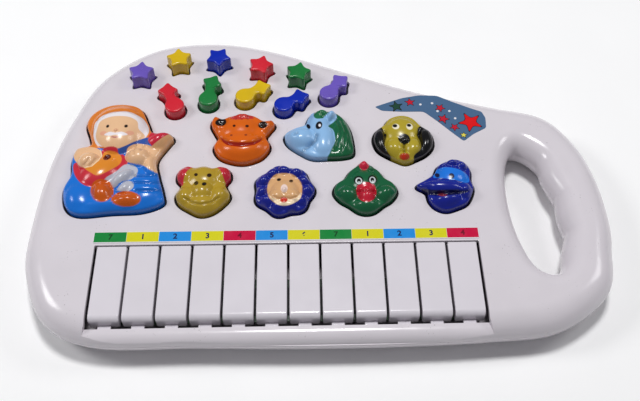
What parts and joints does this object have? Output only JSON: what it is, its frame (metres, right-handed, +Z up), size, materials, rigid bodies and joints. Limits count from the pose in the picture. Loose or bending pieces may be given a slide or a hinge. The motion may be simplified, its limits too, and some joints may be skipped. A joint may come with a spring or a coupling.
{
  "type": "toy electronic keyboard",
  "caption": "Toy electronic keyboard: white keys with rounded fronts, star, note and animal push buttons, a seated musician button, and a carrying handle at one side.",
  "frame": {"origin": "on the surface the toy stands on, under the middle of the casing", "axes": "+X along the keys towards the handle, +Y from the keys to the back edge, +Z up"},
  "size_m": [0.359, 0.2351, 0.044],
  "materials": {
    "casing_plastic": "gloss moulding with soft highlights",
    "key_plastic": "gloss moulding",
    "purple_plastic": "gloss moulding",
    "yellow_plastic": "gloss moulding",
    "blue_plastic": "gloss moulding",
    "red_plastic": "gloss moulding",
    "green_plastic": "gloss moulding",
    "orange_plastic": "gloss moulding with painted details",
    "sky_plastic": "gloss moulding with a painted mane",
    "olive_plastic": "gloss moulding with painted details",
    "navy_plastic": "gloss moulding with painted details",
    "forest_plastic": "gloss moulding with painted details",
    "figure_paint": "gloss moulding with sprayed and printed paint",
    "label_film": "printed gloss film in coloured cells",
    "sticker_film": "printed film with stars",
    "steel": "zinc plated",
    "cell_sleeve": "printed sleeve",
    "black_plastic": "matte moulding",
    "cone_paper": "pressed paper cone",
    "board_laminate": "solder mask over laminate",
    "grey_silicone": "matte silicone rubber",
    "knob_plastic": "matte moulding",
    "foot_rubber": "matte rubber"
  },
  "bodies": {
    "casing": {"battery_cell_1": "cell_sleeve", "battery_cell_2": "cell_sleeve", "battery_cell_3": "cell_sleeve", "battery_plate_contact": "steel", "battery_spring_contact": "steel", "bottom_shell": "casing_plastic", "case_screw_1": "steel", "case_screw_2": "steel", "case_screw_3": "steel", "case_screw_4": "steel", "case_screw_5": "steel", "circuit_board": "board_laminate", "control_chip": "black_plastic", "key_contact_board": "board_laminate", "key_contact_mat": "grey_silicone", "key_label_strip": "label_film", "key_pivot_rod": "steel", "keypad_mat": "grey_silicone", "rubber_foot_1": "foot_rubber", "rubber_foot_2": "foot_rubber", "rubber_foot_3": "foot_rubber", "rubber_foot_4": "foot_rubber", "speaker_cone": "cone_paper", "speaker_frame": "black_plastic", "star_sticker": "sticker_film", "switch_body": "black_plastic", "top_shell": "casing_plastic"},
    "key_01": {"key_01": "key_plastic"},
    "key_02": {"key_02": "key_plastic"},
    "key_03": {"key_03": "key_plastic"},
    "key_04": {"key_04": "key_plastic"},
    "key_05": {"key_05": "key_plastic"},
    "key_06": {"key_06": "key_plastic"},
    "key_07": {"key_07": "key_plastic"},
    "key_08": {"key_08": "key_plastic"},
    "key_09": {"key_09": "key_plastic"},
    "key_10": {"key_10": "key_plastic"},
    "key_11": {"key_11": "key_plastic"},
    "key_12": {"key_12": "key_plastic"},
    "star_button_purple": {"star_button_purple": "purple_plastic"},
    "star_button_yellow": {"star_button_yellow": "yellow_plastic"},
    "star_button_blue": {"star_button_blue": "blue_plastic"},
    "star_button_red": {"star_button_red": "red_plastic"},
    "star_button_green": {"star_button_green": "green_plastic"},
    "note_button_red": {"note_button_red": "red_plastic"},
    "note_button_green": {"note_button_green": "green_plastic"},
    "note_button_yellow": {"note_button_yellow": "yellow_plastic"},
    "note_button_blue": {"note_button_blue": "blue_plastic"},
    "note_button_purple": {"note_button_purple": "purple_plastic"},
    "hippo_button": {"hippo_button": "orange_plastic"},
    "horse_button": {"horse_button": "sky_plastic"},
    "dog_button": {"dog_button": "olive_plastic"},
    "pig_button": {"pig_button": "olive_plastic"},
    "lion_button": {"lion_button": "navy_plastic"},
    "rooster_button": {"rooster_button": "forest_plastic"},
    "duck_button": {"duck_button": "navy_plastic"},
    "musician_button": {"musician_button": "figure_paint"},
    "switch_knob": {"switch_knob": "knob_plastic"},
    "battery_door": {"battery_door": "casing_plastic", "battery_door_screw": "steel"}
  },
  "joints": [
    {"name": "key_01_press", "type": "hinge", "parent": "casing", "child": "key_01", "pos_m": [0, -0.052, 0.024], "axis": [1, 0, 0], "range_deg": [0, 3.6], "stiffness_Nm_per_rad": 0.4, "springref_deg": -1.72},
    {"name": "key_02_press", "type": "hinge", "parent": "casing", "child": "key_02", "pos_m": [0, -0.052, 0.024], "axis": [1, 0, 0], "range_deg": [0, 3.6], "stiffness_Nm_per_rad": 0.4, "springref_deg": -1.72},
    {"name": "key_03_press", "type": "hinge", "parent": "casing", "child": "key_03", "pos_m": [0, -0.052, 0.024], "axis": [1, 0, 0], "range_deg": [0, 3.6], "stiffness_Nm_per_rad": 0.4, "springref_deg": -1.72},
    {"name": "key_04_press", "type": "hinge", "parent": "casing", "child": "key_04", "pos_m": [0, -0.052, 0.024], "axis": [1, 0, 0], "range_deg": [0, 3.6], "stiffness_Nm_per_rad": 0.4, "springref_deg": -1.72},
    {"name": "key_05_press", "type": "hinge", "parent": "casing", "child": "key_05", "pos_m": [0, -0.052, 0.024], "axis": [1, 0, 0], "range_deg": [0, 3.6], "stiffness_Nm_per_rad": 0.4, "springref_deg": -1.72},
    {"name": "key_06_press", "type": "hinge", "parent": "casing", "child": "key_06", "pos_m": [0, -0.052, 0.024], "axis": [1, 0, 0], "range_deg": [0, 3.6], "stiffness_Nm_per_rad": 0.4, "springref_deg": -1.72},
    {"name": "key_07_press", "type": "hinge", "parent": "casing", "child": "key_07", "pos_m": [0, -0.052, 0.024], "axis": [1, 0, 0], "range_deg": [0, 3.6], "stiffness_Nm_per_rad": 0.4, "springref_deg": -1.72},
    {"name": "key_08_press", "type": "hinge", "parent": "casing", "child": "key_08", "pos_m": [0, -0.052, 0.024], "axis": [1, 0, 0], "range_deg": [0, 3.6], "stiffness_Nm_per_rad": 0.4, "springref_deg": -1.72},
    {"name": "key_09_press", "type": "hinge", "parent": "casing", "child": "key_09", "pos_m": [0, -0.052, 0.024], "axis": [1, 0, 0], "range_deg": [0, 3.6], "stiffness_Nm_per_rad": 0.4, "springref_deg": -1.72},
    {"name": "key_10_press", "type": "hinge", "parent": "casing", "child": "key_10", "pos_m": [0, -0.052, 0.024], "axis": [1, 0, 0], "range_deg": [0, 3.6], "stiffness_Nm_per_rad": 0.4, "springref_deg": -1.72},
    {"name": "key_11_press", "type": "hinge", "parent": "casing", "child": "key_11", "pos_m": [0, -0.052, 0.024], "axis": [1, 0, 0], "range_deg": [0, 3.6], "stiffness_Nm_per_rad": 0.4, "springref_deg": -1.72},
    {"name": "key_12_press", "type": "hinge", "parent": "casing", "child": "key_12", "pos_m": [0, -0.052, 0.024], "axis": [1, 0, 0], "range_deg": [0, 3.6], "stiffness_Nm_per_rad": 0.4, "springref_deg": -1.72},
    {"name": "star_button_purple_press", "type": "slide", "parent": "casing", "child": "star_button_purple", "axis": [0, 0, -1], "range_m": [0, 0.0016], "stiffness_N_per_m": 600, "springref_m": -0.002},
    {"name": "star_button_yellow_press", "type": "slide", "parent": "casing", "child": "star_button_yellow", "axis": [0, 0, -1], "range_m": [0, 0.0016], "stiffness_N_per_m": 600, "springref_m": -0.002},
    {"name": "star_button_blue_press", "type": "slide", "parent": "casing", "child": "star_button_blue", "axis": [0, 0, -1], "range_m": [0, 0.0016], "stiffness_N_per_m": 600, "springref_m": -0.002},
    {"name": "star_button_red_press", "type": "slide", "parent": "casing", "child": "star_button_red", "axis": [0, 0, -1], "range_m": [0, 0.0016], "stiffness_N_per_m": 600, "springref_m": -0.002},
    {"name": "star_button_green_press", "type": "slide", "parent": "casing", "child": "star_button_green", "axis": [0, 0, -1], "range_m": [0, 0.0016], "stiffness_N_per_m": 600, "springref_m": -0.002},
    {"name": "note_button_red_press", "type": "slide", "parent": "casing", "child": "note_button_red", "axis": [0, 0, -1], "range_m": [0, 0.0016], "stiffness_N_per_m": 600, "springref_m": -0.002},
    {"name": "note_button_green_press", "type": "slide", "parent": "casing", "child": "note_button_green", "axis": [0, 0, -1], "range_m": [0, 0.0016], "stiffness_N_per_m": 600, "springref_m": -0.002},
    {"name": "note_button_yellow_press", "type": "slide", "parent": "casing", "child": "note_button_yellow", "axis": [0, 0, -1], "range_m": [0, 0.0016], "stiffness_N_per_m": 600, "springref_m": -0.002},
    {"name": "note_button_blue_press", "type": "slide", "parent": "casing", "child": "note_button_blue", "axis": [0, 0, -1], "range_m": [0, 0.0016], "stiffness_N_per_m": 600, "springref_m": -0.002},
    {"name": "note_button_purple_press", "type": "slide", "parent": "casing", "child": "note_button_purple", "axis": [0, 0, -1], "range_m": [0, 0.0016], "stiffness_N_per_m": 600, "springref_m": -0.002},
    {"name": "hippo_button_press", "type": "slide", "parent": "casing", "child": "hippo_button", "axis": [0, 0, -1], "range_m": [0, 0.0016], "stiffness_N_per_m": 600, "springref_m": -0.002},
    {"name": "horse_button_press", "type": "slide", "parent": "casing", "child": "horse_button", "axis": [0, 0, -1], "range_m": [0, 0.0016], "stiffness_N_per_m": 600, "springref_m": -0.002},
    {"name": "dog_button_press", "type": "slide", "parent": "casing", "child": "dog_button", "axis": [0, 0, -1], "range_m": [0, 0.0016], "stiffness_N_per_m": 600, "springref_m": -0.002},
    {"name": "pig_button_press", "type": "slide", "parent": "casing", "child": "pig_button", "axis": [0, 0, -1], "range_m": [0, 0.0016], "stiffness_N_per_m": 600, "springref_m": -0.002},
    {"name": "lion_button_press", "type": "slide", "parent": "casing", "child": "lion_button", "axis": [0, 0, -1], "range_m": [0, 0.0016], "stiffness_N_per_m": 600, "springref_m": -0.002},
    {"name": "rooster_button_press", "type": "slide", "parent": "casing", "child": "rooster_button", "axis": [0, 0, -1], "range_m": [0, 0.0016], "stiffness_N_per_m": 600, "springref_m": -0.002},
    {"name": "duck_button_press", "type": "slide", "parent": "casing", "child": "duck_button", "axis": [0, 0, -1], "range_m": [0, 0.0016], "stiffness_N_per_m": 600, "springref_m": -0.002},
    {"name": "musician_button_press", "type": "slide", "parent": "casing", "child": "musician_button", "axis": [0, 0, -1], "range_m": [0, 0.0016], "stiffness_N_per_m": 600, "springref_m": -0.002},
    {"name": "power_switch_slide", "type": "slide", "parent": "casing", "child": "switch_knob", "axis": [1, 0, 0], "range_m": [0, 0.0064]},
    {"name": "battery_door_tilt", "type": "hinge", "parent": "casing", "child": "battery_door", "pos_m": [0.0106, 0.0315, 0.0032], "axis": [0, 1, 0], "range_deg": [0, 20]}
  ]
}
